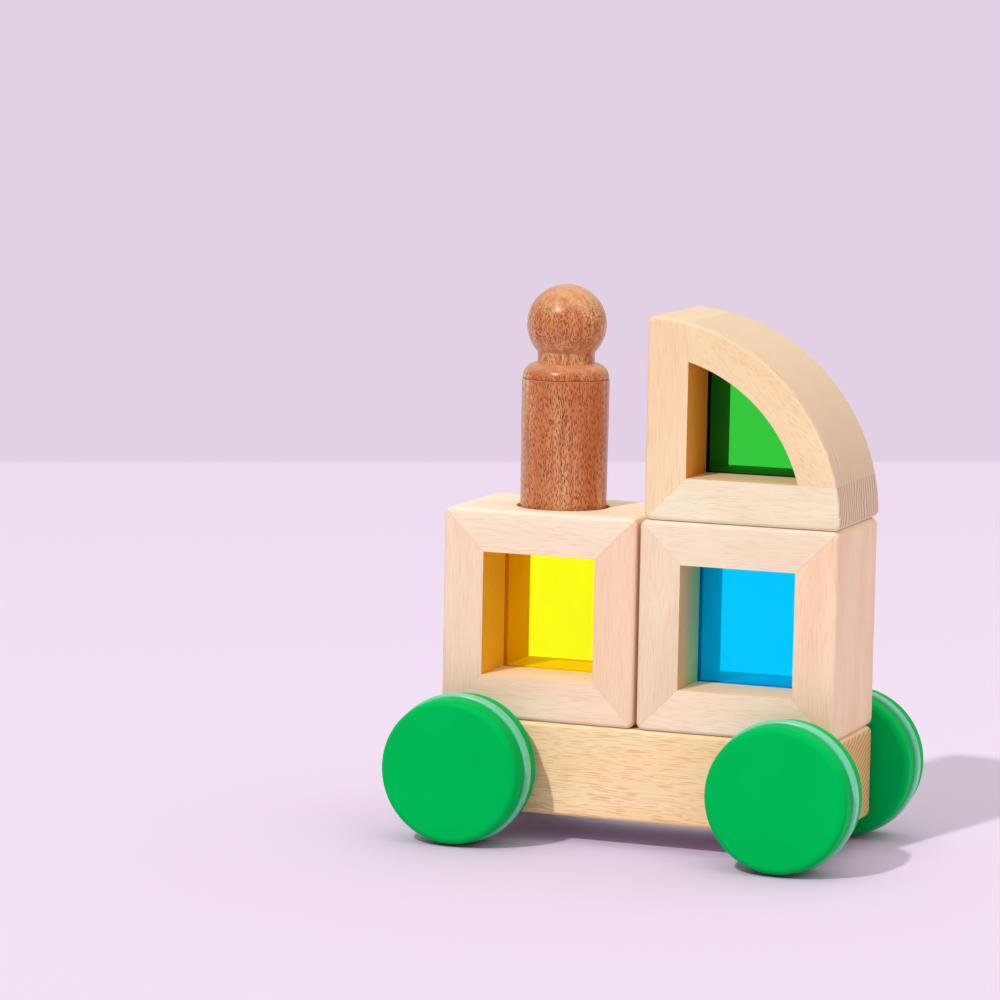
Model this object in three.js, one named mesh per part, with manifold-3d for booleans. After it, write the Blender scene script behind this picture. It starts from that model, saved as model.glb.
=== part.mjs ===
// Wooden block car: a beech chassis on four painted wheels carries two square window blocks.
// A quarter-arch window block stands on the front one, and a turned peg driver in a socket of the rear one.
// Millimetres. +X is the front of the car, +Y its left side, +Z up. The origin is on the floor under its middle.

import * as THREE from 'three';
import { mergeVertices } from 'three/addons/utils/BufferGeometryUtils.js';
import Module from 'manifold-3d';

// Square window blocks
const blockWidth = 60;
const blockHeight = 61.8;
const blockDepth = 40;
const railWidth = 12.6;
const blockGap = 1;

// Quarter-arch block
const archShort = 0.7;
const archBand = 11.2;
const archInset = 1.1;

// Rounding and glue lines of the woodwork
const cornerRadius = 2.2;
const edgeRound = 1.3;
const sightRound = 0.6;
const glueLine = 0.12;
const restGap = 0.1;
const roundLimit = 0.9;

// Window panes and the grooves that hold them
const paneThickness = 2.4;
const paneGroove = 2.4;
const paneClearance = 0.15;

// Chassis and axles
const chassisHeight = 27.4;
const axleHeightInChassis = 14;
const axleInset = 10.7;
const axleDiameter = 8;
const axleRunningClearance = 0.25;
const axleGlueGap = 0.05;
const axleEndGap = 0.2;

// Wheels and elastic tyres
const wheelDiameter = 42.6;
const wheelLip = 7;
const wheelRound = 2;
const wheelWeb = 5;
const wheelGap = 3;
const tyreWidth = 4;
const tyreSeat = 2.2;
const tyreProud = 0.85;
const tyreShoulder = 0.6;
const tyreClearance = 0.08;

// Peg driver and its socket
const driverHeight = 74;
const bodyDiameter = 26;
const footDiameter = 25.4;
const footRound = 1.2;
const headDiameter = 23.5;
const neckDiameter = 16.9;
const neckLength = 3.2;
const shoulderHeight = 4;
const socketClearance = 0.7;
const socketFloor = 4.1;

// Facets
const turnSteps = 36;
const cornerSteps = 4;
const edgeSteps = 3;
const archSteps = 24;
const lipSteps = 3;
const crownSteps = 4;
const shoulderSteps = 5;
const headSteps = 11;
const mergeDistance = 1e-4;

// Worked out from the sizes above
const wheelRadius = wheelDiameter / 2;
const wheelThickness = 2 * wheelLip + tyreWidth;
const tyreRadius = wheelRadius + tyreProud;
const axleRadius = axleDiameter / 2;
const axleBoreDepth = wheelThickness - wheelWeb;
const chassisLength = 2 * blockWidth + blockGap;
const axleX = chassisLength / 2 - axleInset;
const chassisBottom = tyreRadius - axleHeightInChassis;
const blockBottom = chassisBottom + chassisHeight + restGap;
const blockX = (blockWidth + blockGap) / 2;
const archRadius = blockWidth - archShort;
const archLeft = blockGap / 2 + archInset;
const archBottom = blockBottom + blockHeight + restGap;
const archInnerRadius = archRadius - archBand;
const socketDepth = railWidth - socketFloor;
const driverBottom = blockBottom + blockHeight - socketDepth + restGap;
const outlineEdge = Math.min(edgeRound, roundLimit * cornerRadius);
const cutMargin = railWidth / 4;

const beech = { color: 0xe6bd8c, roughness: 0.6, metalness: 0 };
const chassisBeech = { color: 0xe3ae74, roughness: 0.6, metalness: 0 };
const archBeech = { color: 0xe8c184, roughness: 0.6, metalness: 0 };
const walnut = { color: 0x6e3a1f, roughness: 0.55, metalness: 0 };
const greenPaint = { color: 0x02b853, roughness: 0.35, metalness: 0 };
const clearElastic = { color: 0xb9e6dc, roughness: 0.25, metalness: 0, transparent: true, opacity: 0.7 };
const yellowPane = { color: 0xffe600, roughness: 0.1, metalness: 0, transparent: true, opacity: 0.6 };
const bluePane = { color: 0x00b4f0, roughness: 0.1, metalness: 0, transparent: true, opacity: 0.6 };
const greenPane = { color: 0x18c030, roughness: 0.1, metalness: 0, transparent: true, opacity: 0.6 };

const wasm = await Module();
wasm.setup();

// Closed three.js geometry to a solid that can be cut. Points on a lathe's axis give empty triangles, left out here.
function toSolid(geometry) {
  geometry.deleteAttribute('normal');
  geometry.deleteAttribute('uv');
  const merged = mergeVertices(geometry, mergeDistance);
  const index = merged.getIndex().array;
  const triVerts = [];
  for (let i = 0; i < index.length; i += 3) {
    const [a, b, c] = index.slice(i, i + 3);
    if (a !== b && b !== c && c !== a) {
      triVerts.push(a, b, c);
    }
  }
  const mesh = new wasm.Mesh({
    numProp: 3,
    vertProperties: new Float32Array(merged.getAttribute('position').array),
    triVerts: new Uint32Array(triVerts),
  });
  return new wasm.Manifold(mesh);
}

function toGeometry(solid) {
  const { vertProperties, triVerts, numProp } = solid.getMesh();
  const geometry = new THREE.BufferGeometry();
  const points = new THREE.InterleavedBuffer(vertProperties, numProp);
  geometry.setAttribute('position', new THREE.InterleavedBufferAttribute(points, 3, 0));
  geometry.setIndex(new THREE.BufferAttribute(triVerts, 1));
  const flat = geometry.toNonIndexed();
  flat.computeVertexNormals();
  return flat;
}

function piece(name, solid, look) {
  const mesh = new THREE.Mesh(toGeometry(solid), new THREE.MeshStandardMaterial(look));
  mesh.name = name;
  return mesh;
}

function arc(x, y, radius, from, to, steps) {
  const points = [];
  for (let i = 0; i <= steps; i += 1) {
    const angle = from + ((to - from) * i) / steps;
    points.push(new THREE.Vector2(x + radius * Math.cos(angle), y + radius * Math.sin(angle)));
  }
  return points;
}

function polygon(...pairs) {
  return pairs.map(([x, y]) => new THREE.Vector2(x, y));
}

function rectangle(width, height) {
  const x = width / 2;
  const y = height / 2;
  return polygon([-x, -y], [x, -y], [x, y], [-x, y]);
}

function roundedRectangle(width, height) {
  const x = width / 2 - cornerRadius;
  const y = height / 2 - cornerRadius;
  const quarter = Math.PI / 2;
  return [
    ...arc(x, -y, cornerRadius, -quarter, 0, cornerSteps),
    ...arc(x, y, cornerRadius, 0, quarter, cornerSteps),
    ...arc(-x, y, cornerRadius, quarter, 2 * quarter, cornerSteps),
    ...arc(-x, -y, cornerRadius, 2 * quarter, 3 * quarter, cornerSteps),
  ];
}

// An outline drawn in X and Z, given its depth along Y, half on each side of it.
// A positive edge rounds both faces' edges, and a negative one flares them, so that a cut leaves rounded edges.
function slab(outline, depth, edge = 0) {
  const round = Math.abs(edge);
  const geometry = new THREE.ExtrudeGeometry(new THREE.Shape(outline), {
    depth: depth - 2 * round,
    bevelEnabled: round > 0,
    bevelThickness: round,
    bevelSize: edge,
    bevelOffset: -edge,
    bevelSegments: edgeSteps,
  });
  geometry.translate(0, 0, round - depth / 2);
  geometry.rotateX(Math.PI / 2);
  return toSolid(geometry);
}

// A turned solid about Y. The profile holds [radius, height] points, out from the axis and round it anticlockwise.
function turned(profile) {
  return toSolid(new THREE.LatheGeometry(profile, turnSteps));
}

function rod(radius, length) {
  return toSolid(new THREE.CylinderGeometry(radius, radius, length, turnSteps));
}

// Chassis: a rounded bar, bored across for the two axles
function makeChassis() {
  const bar = slab(roundedRectangle(chassisLength, chassisHeight), blockDepth, outlineEdge);
  const bore = rod(axleRadius + axleRunningClearance, blockDepth + 2 * cutMargin);
  const boreZ = axleHeightInChassis - chassisHeight / 2;
  const solid = bar.subtract(bore.translate([axleX, 0, boreZ])).subtract(bore.translate([-axleX, 0, boreZ]));
  const mesh = piece('chassis', solid, chassisBeech);
  mesh.position.z = chassisBottom + chassisHeight / 2;
  return mesh;
}

// Wheel: rounded lips on both sides of the tyre's groove, and a blind bore for the axle in its inner face
function wheelSolid() {
  const boreRadius = axleRadius + axleGlueGap;
  const seatRadius = wheelRadius - tyreSeat;
  const corner = wheelRadius - wheelRound;
  return turned([
    ...polygon([0, axleBoreDepth], [boreRadius, axleBoreDepth], [boreRadius, 0]),
    ...arc(corner, wheelRound, wheelRound, -Math.PI / 2, 0, lipSteps),
    ...polygon([wheelRadius, wheelLip], [seatRadius, wheelLip]),
    ...polygon([seatRadius, wheelLip + tyreWidth], [wheelRadius, wheelLip + tyreWidth]),
    ...arc(corner, wheelThickness - wheelRound, wheelRound, 0, Math.PI / 2, lipSteps),
    ...polygon([0, wheelThickness]),
  ]);
}

// Tyre: an elastic band that fills the groove and stands proud of the lips with a low crown
function tyreSolid() {
  const inner = wheelRadius - tyreSeat + tyreClearance;
  const shoulder = tyreRadius - tyreShoulder;
  const half = tyreWidth / 2 - tyreClearance;
  const middle = wheelLip + tyreWidth / 2;
  const crown = [];
  for (let i = 0; i <= crownSteps; i += 1) {
    const across = -1 + (2 * i) / crownSteps;
    crown.push(new THREE.Vector2(tyreRadius - tyreShoulder * across * across, middle + half * across));
  }
  const start = new THREE.Vector2(inner, middle - half);
  return turned([start, ...crown, new THREE.Vector2(inner, middle + half), start.clone()]);
}

// Axle with its two wheels and tyres, about the axle's middle
function makeWheelset(end) {
  const set = new THREE.Group();
  const innerFace = blockDepth / 2 + wheelGap;
  const axleLength = 2 * (innerFace + axleBoreDepth - axleEndGap);
  set.add(piece(`${end}_axle`, rod(axleRadius, axleLength), beech));
  for (const [side, turn] of [['left', 0], ['right', Math.PI]]) {
    const pair = new THREE.Group();
    const wheel = piece(`${end}_${side}_wheel`, wheelSolid(), greenPaint);
    const tyre = piece(`${end}_${side}_tyre`, tyreSolid(), clearElastic);
    wheel.position.y = innerFace;
    tyre.position.y = innerFace;
    pair.add(wheel, tyre);
    pair.rotation.z = turn;
    set.add(pair);
  }
  set.position.z = tyreRadius;
  return set;
}

// One mitred rail of a square frame lies along X at its top. Turned copies make the other three sides.
function mitreWedge(width, height, turn) {
  const shift = glueLine / Math.SQRT2;
  const outer = width / 2 + cutMargin - shift;
  const inner = width / 2 - railWidth - cutMargin - shift;
  const top = height / 2 + cutMargin;
  const bottom = height / 2 - railWidth - cutMargin;
  const outline = polygon([-inner, bottom], [inner, bottom], [outer, top], [-outer, top]);
  return slab(outline, blockDepth + 2 * cutMargin).rotate([0, turn, 0]);
}

// The driver's socket: a blind round hole in the middle of the top rail
function socketCut() {
  const cut = rod(bodyDiameter / 2 + socketClearance, socketDepth + cutMargin).rotate([90, 0, 0]);
  return cut.translate([0, 0, blockHeight / 2 + (cutMargin - socketDepth) / 2]);
}

// Square window block about its middle: four mitred rails round a pane held in a groove
function makeBlock(name, paneLook, hasSocket) {
  const block = new THREE.Group();
  const openingWidth = blockWidth - 2 * railWidth;
  const openingHeight = blockHeight - 2 * railWidth;
  const paneInset = paneGroove - paneClearance;
  const opening = slab(rectangle(openingWidth, openingHeight), blockDepth, -sightRound);
  const grooveOutline = rectangle(openingWidth + 2 * paneGroove, openingHeight + 2 * paneGroove);
  const groove = slab(grooveOutline, paneThickness + 2 * paneClearance);
  const blank = slab(roundedRectangle(blockWidth, blockHeight), blockDepth, outlineEdge);
  const frame = blank.subtract(opening).subtract(groove);
  const rails = {
    top_rail: mitreWedge(blockWidth, blockHeight, 0),
    front_stile: mitreWedge(blockHeight, blockWidth, 90),
    bottom_rail: mitreWedge(blockWidth, blockHeight, 180),
    rear_stile: mitreWedge(blockHeight, blockWidth, 270),
  };
  for (const [rail, wedge] of Object.entries(rails)) {
    const bar = frame.intersect(wedge);
    const cutsSocket = hasSocket && rail === 'top_rail';
    block.add(piece(`${name}_${rail}`, cutsSocket ? bar.subtract(socketCut()) : bar, beech));
  }
  const paneOutline = rectangle(openingWidth + 2 * paneInset, openingHeight + 2 * paneInset);
  block.add(piece(`${name}_window`, slab(paneOutline, paneThickness), paneLook));
  block.position.z = blockBottom + blockHeight / 2;
  return block;
}

// Quarter-round outline from its lower rear corner, with all three corners rounded
function quarterOutline() {
  const reach = Math.sqrt((archRadius - cornerRadius) ** 2 - cornerRadius ** 2);
  const tip = Math.atan2(cornerRadius, reach);
  const quarter = Math.PI / 2;
  return [
    ...arc(cornerRadius, cornerRadius, cornerRadius, -2 * quarter, -quarter, cornerSteps),
    ...arc(reach, cornerRadius, cornerRadius, -quarter, tip, cornerSteps).slice(0, -1),
    ...arc(0, 0, archRadius, tip, quarter - tip, archSteps),
    ...arc(cornerRadius, reach, cornerRadius, quarter - tip, 2 * quarter, cornerSteps).slice(1),
  ];
}

// The arched window's outline, grown on every side by grow
function archOpening(grow) {
  const low = railWidth - grow;
  const radius = archInnerRadius + grow;
  const start = Math.asin(low / radius);
  return [new THREE.Vector2(low, low), ...arc(0, 0, radius, start, Math.PI / 2 - start, archSteps)];
}

// Quarter-arch block: a stile and a sill mitred together, and a curved piece glued on both
function makeArchBlock() {
  const block = new THREE.Group();
  const opening = slab(archOpening(0), blockDepth, -sightRound);
  const groove = slab(archOpening(paneGroove), paneThickness + 2 * paneClearance);
  const frame = slab(quarterOutline(), blockDepth, outlineEdge).subtract(opening).subtract(groove);
  const far = archRadius + cutMargin;
  const near = railWidth - glueLine / 2;
  const past = railWidth + glueLine / 2;
  const shift = glueLine / Math.SQRT2;
  const outlines = {
    stile: polygon([-cutMargin, shift - cutMargin], [near, near + shift], [near, far], [-cutMargin, far]),
    sill: polygon([shift - cutMargin, -cutMargin], [far, -cutMargin], [far, near], [near + shift, near]),
    arch: polygon([past, past], [far, past], [far, far], [past, far]),
  };
  for (const [part, outline] of Object.entries(outlines)) {
    const wedge = slab(outline, blockDepth + 2 * cutMargin);
    block.add(piece(`arch_block_${part}`, frame.intersect(wedge), part === 'arch' ? archBeech : beech));
  }
  block.add(piece('arch_block_window', slab(archOpening(paneGroove - paneClearance), paneThickness), greenPane));
  block.position.set(archLeft, 0, archBottom);
  return block;
}

// Peg driver: one turning with a round head, a short neck, rounded shoulders and a plain body
function makeDriver() {
  const bodyRadius = bodyDiameter / 2;
  const footRadius = footDiameter / 2;
  const neckRadius = neckDiameter / 2;
  const headRadius = headDiameter / 2;
  const headZ = driverHeight - headRadius;
  const headStart = -Math.acos(neckRadius / headRadius);
  const neckTop = headZ + headRadius * Math.sin(headStart);
  const shoulderTop = neckTop - neckLength;
  const shoulderZ = shoulderTop - shoulderHeight;
  const shoulder = [];
  for (let i = 0; i <= shoulderSteps; i += 1) {
    const angle = (Math.PI / 2) * (i / shoulderSteps);
    const radius = neckRadius + (bodyRadius - neckRadius) * Math.cos(angle);
    shoulder.push(new THREE.Vector2(radius, shoulderZ + shoulderHeight * Math.sin(angle)));
  }
  const solid = turned([
    new THREE.Vector2(0, 0),
    ...arc(footRadius - footRound, footRound, footRound, -Math.PI / 2, 0, lipSteps),
    ...shoulder,
    ...arc(0, headZ, headRadius, headStart, Math.PI / 2, headSteps),
  ]);
  const mesh = piece('peg_driver', solid, walnut);
  mesh.rotation.x = Math.PI / 2;
  mesh.position.set(-blockX, 0, driverBottom);
  return mesh;
}

const car = new THREE.Group();
const frontWheels = makeWheelset('front');
const rearWheels = makeWheelset('rear');
const rearBlock = makeBlock('rear_block', yellowPane, true);
const frontBlock = makeBlock('front_block', bluePane, false);
frontWheels.position.x = axleX;
rearWheels.position.x = -axleX;
rearBlock.position.x = -blockX;
frontBlock.position.x = blockX;
car.add(makeChassis(), frontWheels, rearWheels, rearBlock, frontBlock, makeArchBlock(), makeDriver());

export default car;
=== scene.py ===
# %% [markdown]
# A wooden block car, dressed for a studio picture.
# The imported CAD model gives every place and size. This lesson loads it as a fixed frame. It then models
# each piece again with softer edges, gives it a grain, paint or plastic of its own, and lets it ride on
# the CAD body that it belongs to.

# %% Load the frame
import math

import bmesh
import bpy
from mathutils import Matrix, Vector


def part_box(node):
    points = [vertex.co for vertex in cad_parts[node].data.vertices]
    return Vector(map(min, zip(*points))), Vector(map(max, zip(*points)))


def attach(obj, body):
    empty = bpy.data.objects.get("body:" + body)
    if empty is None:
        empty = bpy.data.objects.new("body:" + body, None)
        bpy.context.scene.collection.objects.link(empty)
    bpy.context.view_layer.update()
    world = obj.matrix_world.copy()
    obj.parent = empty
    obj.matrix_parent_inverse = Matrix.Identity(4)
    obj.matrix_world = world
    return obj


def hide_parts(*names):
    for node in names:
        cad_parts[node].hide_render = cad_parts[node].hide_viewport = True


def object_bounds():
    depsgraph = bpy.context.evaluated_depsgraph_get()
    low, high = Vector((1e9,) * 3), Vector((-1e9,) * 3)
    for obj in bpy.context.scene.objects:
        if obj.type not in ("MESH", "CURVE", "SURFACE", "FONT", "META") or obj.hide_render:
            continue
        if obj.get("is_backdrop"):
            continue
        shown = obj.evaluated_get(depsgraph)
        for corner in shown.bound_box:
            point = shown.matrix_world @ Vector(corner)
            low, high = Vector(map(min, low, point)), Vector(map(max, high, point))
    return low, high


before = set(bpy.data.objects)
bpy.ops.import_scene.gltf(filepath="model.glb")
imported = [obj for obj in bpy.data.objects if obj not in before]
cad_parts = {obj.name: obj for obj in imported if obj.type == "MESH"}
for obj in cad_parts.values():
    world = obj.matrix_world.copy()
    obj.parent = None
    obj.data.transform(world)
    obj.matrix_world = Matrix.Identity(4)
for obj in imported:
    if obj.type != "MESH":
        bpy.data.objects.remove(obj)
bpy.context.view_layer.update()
MM = 0.001
QUARTER_TURN = math.radians(90)
FULL_TURN = math.radians(360)

# %% [markdown]
# The camera stands where the photographer stood: a little to the car's front, slightly above it, with a
# long lens and a small tilt. A camera's columns are its right, up and back directions, so a turn, a lift
# and a roll fix it.

# %% Camera
CAMERA_PLACE = Vector((0.42959, -1.25741, 0.26602))
CAMERA_TURN = math.radians(20.901)
CAMERA_LIFT = math.radians(7.126)
CAMERA_ROLL = math.radians(1.049)
LENS = 164.07
SENSOR_WIDTH = 36.0

level = Vector((math.cos(CAMERA_TURN), math.sin(CAMERA_TURN), 0))
ahead = Vector((-math.sin(CAMERA_TURN), math.cos(CAMERA_TURN), 0))
backward = math.sin(CAMERA_LIFT) * Vector((0, 0, 1)) - math.cos(CAMERA_LIFT) * ahead
above = backward.cross(level)
rolled_right = level * math.cos(CAMERA_ROLL) + above * math.sin(CAMERA_ROLL)
rolled_up = above * math.cos(CAMERA_ROLL) - level * math.sin(CAMERA_ROLL)
camera_data = bpy.data.cameras.new("studio_camera")
camera_data.lens = LENS
camera_data.sensor_width = SENSOR_WIDTH
camera = bpy.data.objects.new("studio_camera", camera_data)
turning = Matrix((rolled_right, rolled_up, backward)).transposed().to_4x4()
camera.matrix_world = Matrix.Translation(CAMERA_PLACE) @ turning
bpy.context.scene.collection.objects.link(camera)
bpy.context.scene.camera = camera
bpy.context.scene.view_settings.view_transform = "Standard"
print("camera looks along", [round(v, 3) for v in -backward])

# %% [markdown]
# Node trees are easier to read when adding a node is one line. The first helper adds a node, sets its
# options, and either links or sets each input. The next ones name the nodes that come up most. Colours
# are written as a screen shows them, and shade turns them into linear light by the standard sRGB curve.

# %% Helpers for node trees
def add(tree, kind, feeds=None, **settings):
    made = tree.nodes.new(kind)
    for key, value in settings.items():
        setattr(made, key, value)
    for key, value in (feeds or {}).items():
        if isinstance(value, bpy.types.NodeSocket):
            tree.links.new(value, made.inputs[key])
        else:
            made.inputs[key].default_value = value
    return made


def maths(tree, operation, first, second=0.0, third=0.0):
    return add(tree, "ShaderNodeMath", {0: first, 1: second, 2: third}, operation=operation).outputs[0]


def vector_maths(tree, operation, first, second, third=(0.0, 0.0, 0.0)):
    made = add(tree, "ShaderNodeVectorMath", {0: first, 1: second, 2: third}, operation=operation)
    return made.outputs["Value" if operation == "DOT_PRODUCT" else "Vector"]


def mixed(tree, share, first, second, blend="MIX"):
    made = add(tree, "ShaderNodeMix", {0: share, 6: first, 7: second}, data_type="RGBA", blend_type=blend)
    return made.outputs[2]


def spread(tree, value, low, high, to_low=0.0, to_high=1.0):
    feeds = {"Value": value, "From Min": low, "From Max": high, "To Min": to_low, "To Max": to_high}
    return add(tree, "ShaderNodeMapRange", feeds, interpolation_type="SMOOTHSTEP").outputs[0]


def noise_in(tree, vector, size, detail=2.0, output="Fac"):
    stretched = vector_maths(tree, "DIVIDE", vector, size)
    feeds = {"Vector": stretched, "Scale": 1.0, "Detail": detail}
    return add(tree, "ShaderNodeTexNoise", feeds).outputs[output]


def shade(red, green, blue):
    def linear(value):
        part = value / 255
        return part / 12.92 if part <= 0.04045 else ((part + 0.055) / 1.055) ** 2.4

    return (linear(red), linear(green), linear(blue), 1.0)


def new_group(name, inputs, outputs):
    group = bpy.data.node_groups.new(name, "ShaderNodeTree")
    for in_out, sockets in (("INPUT", inputs), ("OUTPUT", outputs)):
        for socket, kind in sockets:
            group.interface.new_socket(name=socket, in_out=in_out, socket_type="NodeSocket" + kind)
    return group, group.nodes.new("NodeGroupInput").outputs, group.nodes.new("NodeGroupOutput").inputs


def new_material(name):
    material = bpy.data.materials.new(name)
    material.use_nodes = True
    return material, material.node_tree, material.node_tree.nodes["Principled BSDF"]


def set_inputs(node, values):
    for key, value in values.items():
        node.inputs[key].default_value = value


print("a mid grey in linear light:", round(shade(128, 128, 128)[0], 3))

# %% [markdown]
# The studio is a pale lilac floor that ends at a wall of the same paint. The wall is only seen, so it is
# the world's colour for camera rays. All other rays meet a white sky that is brightest overhead, like a
# large soft box, and glows where the wall stands. One narrow sun adds the crisp shadows. Behind a pane
# the backdrop counts as white, so that the coloured sheets shine as they do on a white sweep.

# %% Floor, wall and light
WHITE = (1.0, 1.0, 1.0, 1.0)
SWEEP_WHITE = (0.82, 0.82, 0.82, 1.0)
SWEEP_GLOW = 1.0
FLOOR_NEAR = shade(222, 206, 224)
FLOOR_FAR_PAINTED_SHADE = shade(216, 200, 219)
FLOOR_TURN = math.radians(29.89)
FLOOR_EDGE = 0.95
FLOOR_WIDTH = 8.0
FLOOR_LENGTH = 5.0
SKY_LOW = 0.06
SKY_HIGH = 1.16
SKY_SPREAD = (-0.1, 1.0)
SKY_PEAK = Vector((0.28, 0.16, 1.0)).normalized()
WALL_COLOUR = shade(226, 209, 228)
WALL_GLOW = 0.7
WALL_SPREAD = (0.3, 0.9)
WALL_WAY = Vector((-math.sin(FLOOR_TURN), math.cos(FLOOR_TURN), 0))
SUN_STRENGTH = 1.75
SUN_WIDTH = math.radians(2.0)
SUN_RAYS = Vector((0.265, 1.0, -1.0))

bm = bmesh.new()
bmesh.ops.create_grid(bm, x_segments=1, y_segments=1, size=0.5)
bmesh.ops.scale(bm, verts=bm.verts, vec=(FLOOR_WIDTH, FLOOR_LENGTH, 1))
bmesh.ops.translate(bm, verts=bm.verts, vec=(0, FLOOR_EDGE - FLOOR_LENGTH / 2, 0))
bmesh.ops.rotate(bm, verts=bm.verts, matrix=Matrix.Rotation(FLOOR_TURN, 3, "Z"))
floor_mesh = bpy.data.meshes.new("floor")
bm.to_mesh(floor_mesh)
bm.free()
floor = bpy.data.objects.new("floor", floor_mesh)
bpy.context.scene.collection.objects.link(floor)
floor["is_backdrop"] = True

floor_paint, tree, shader = new_material("floor_paint")
place = add(tree, "ShaderNodeTexCoord").outputs["Object"]
turned = add(tree, "ShaderNodeMapping", {"Vector": place, "Rotation": (0, 0, -FLOOR_TURN)}).outputs[0]
depth_back = add(tree, "ShaderNodeSeparateXYZ", {0: turned}).outputs["Y"]
# Painted shade: the floor's lilac darkens a little from near to far, standing in for the light's falloff.
lilac = mixed(tree, spread(tree, depth_back, 0.0, FLOOR_EDGE), FLOOR_NEAR, FLOOR_FAR_PAINTED_SHADE)
through_pane = add(tree, "ShaderNodeLightPath").outputs["Is Transmission Ray"]
tree.links.new(mixed(tree, through_pane, lilac, SWEEP_WHITE), shader.inputs["Base Color"])
set_inputs(shader, {"Roughness": 0.9, "Specular IOR Level": 0.1})
floor_mesh.materials.append(floor_paint)

world = bpy.data.worlds.new("studio")
bpy.context.scene.world = world
world.use_nodes = True
tree = world.node_tree
tree.nodes.clear()
path = add(tree, "ShaderNodeLightPath").outputs
heading = add(tree, "ShaderNodeTexCoord").outputs["Generated"]
near_peak = vector_maths(tree, "DOT_PRODUCT", heading, SKY_PEAK)
strength = spread(tree, near_peak, *SKY_SPREAD, SKY_LOW, SKY_HIGH)
near_wall = vector_maths(tree, "DOT_PRODUCT", heading, WALL_WAY)
strength = maths(tree, "MAXIMUM", strength, spread(tree, near_wall, *WALL_SPREAD, 0.0, WALL_GLOW))
behind_pane = {0: path["Is Transmission Ray"], 2: strength, 3: SWEEP_GLOW}
strength = add(tree, "ShaderNodeMix", behind_pane).outputs[0]
sky = add(tree, "ShaderNodeBackground", {"Color": WHITE, "Strength": strength}).outputs[0]
wall = add(tree, "ShaderNodeBackground", {"Color": WALL_COLOUR, "Strength": 1.0}).outputs[0]
both = add(tree, "ShaderNodeMixShader", {0: path["Is Camera Ray"], 1: sky, 2: wall}).outputs[0]
add(tree, "ShaderNodeOutputWorld", {"Surface": both})

sun_data = bpy.data.lights.new("key_sun", "SUN")
sun_data.energy = SUN_STRENGTH
sun_data.angle = SUN_WIDTH
sun = bpy.data.objects.new("key_sun", sun_data)
sun.rotation_mode = "QUATERNION"
sun.rotation_quaternion = SUN_RAYS.to_track_quat("-Z", "Y")
bpy.context.scene.collection.objects.link(sun)
print("sun stands", round(math.degrees(math.asin(-SUN_RAYS.normalized().z)), 1), "degrees high")

# %% [markdown]
# Wood is a solid, so its figure is worked out in the board's own space: X runs along the grain, Y from
# ring to ring, and Z across the board. Growth rings are a saw-tooth along Y that a slow noise bends. The
# small dashes that beech shows are cut rays: the hearts of Voronoi cells, stretched along the grain to
# thin spindles that waver a little. A cut across the grain is darker and shows the rings best. One group
# serves beech and walnut, for both show rings, dashes, streaks and fibres. Last, the inner walls of a
# window are multiplied by painted light: a tint at the front edge, one close before the pane and one
# behind it, which paint the shade in the reveal and the coloured glow that the pane throws on it.

# %% Timber figure
timber, fed, out = new_group(
    "timber_figure_and_reveal_light",
    [("Board", "Vector"), ("Across Cut", "Float"), ("Pale", "Color"), ("Deep", "Color"),
     ("Ring Colour", "Color"), ("Dash Colour", "Color"), ("Cut Colour", "Color"), ("Ring Width", "Float"),
     ("Ring Wander", "Float"), ("Ring Strength", "Float"), ("Dash Size", "Vector"), ("Dash Reach", "Float"),
     ("Dash Strength", "Float"), ("Dash On Cut", "Float"), ("Streak Size", "Vector"),
     ("Streak Strength", "Float"), ("Inner Wall", "Float"), ("Inner Depth", "Float"),
     ("Inner Edge Painted Light", "Color"), ("Inner Painted Light", "Color"), ("Inner Back Painted Light", "Color"),
     ("Rough Low", "Float")],
    [("Color", "Color"), ("Roughness", "Float"), ("Height", "Float")],
)
TONE_SIZE = (0.070, 0.012, 0.012)
TONE_RANGE = (0.3, 0.7)
WANDER_SIZE = (0.055, 0.030, 0.014)
FIBRE_SIZE = (0.0060, 0.00022, 0.00022)
FIBRE_SHARE = 0.30
FIBRE_HEIGHT = 0.35
WAVE_SIZE = (0.015, 0.010, 0.010)
WAVE_REACH = (0.0, 0.0012, 0.0012)
STREAK_RANGE = (0.35, 0.70)
RING_POWER = 2.5
RING_FALL = 0.88
RING_ON_SIDE = 0.06
PATCH_SIZE = (0.012, 0.006, 0.004)
PATCH_RANGE = (0.25, 0.75)
PATCH_REACH = 0.05
DASH_EDGE = 0.16
DASH_HEIGHT = 0.65
CUT_SHARE = 0.75
ROUGH_SPREAD = 0.2
BEFORE_PANE = 1.0
BEHIND_PANE = 0.5

board = fed["Board"]
across_cut = fed["Across Cut"]
tone = spread(timber, noise_in(timber, board, TONE_SIZE), *TONE_RANGE)
fibre = noise_in(timber, board, FIBRE_SIZE)
wave = noise_in(timber, board, WAVE_SIZE, detail=0.0, output="Color")
wavy = vector_maths(timber, "MULTIPLY_ADD", wave, WAVE_REACH, board)
streak = spread(timber, noise_in(timber, wavy, fed["Streak Size"]), *STREAK_RANGE)

bend = maths(timber, "SUBTRACT", noise_in(timber, board, WANDER_SIZE), 0.5)
bend = maths(timber, "MULTIPLY", bend, fed["Ring Wander"])
ringward = add(timber, "ShaderNodeSeparateXYZ", {0: board}).outputs["Y"]
ringward = maths(timber, "DIVIDE", maths(timber, "ADD", ringward, bend), fed["Ring Width"])
tooth = maths(timber, "FRACT", ringward)
late = maths(timber, "POWER", tooth, RING_POWER)
late = maths(timber, "MULTIPLY", late, spread(timber, tooth, 1.0, RING_FALL))
ring = maths(timber, "MULTIPLY", late, spread(timber, across_cut, 0.0, 1.0, RING_ON_SIDE, 1.0))

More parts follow.
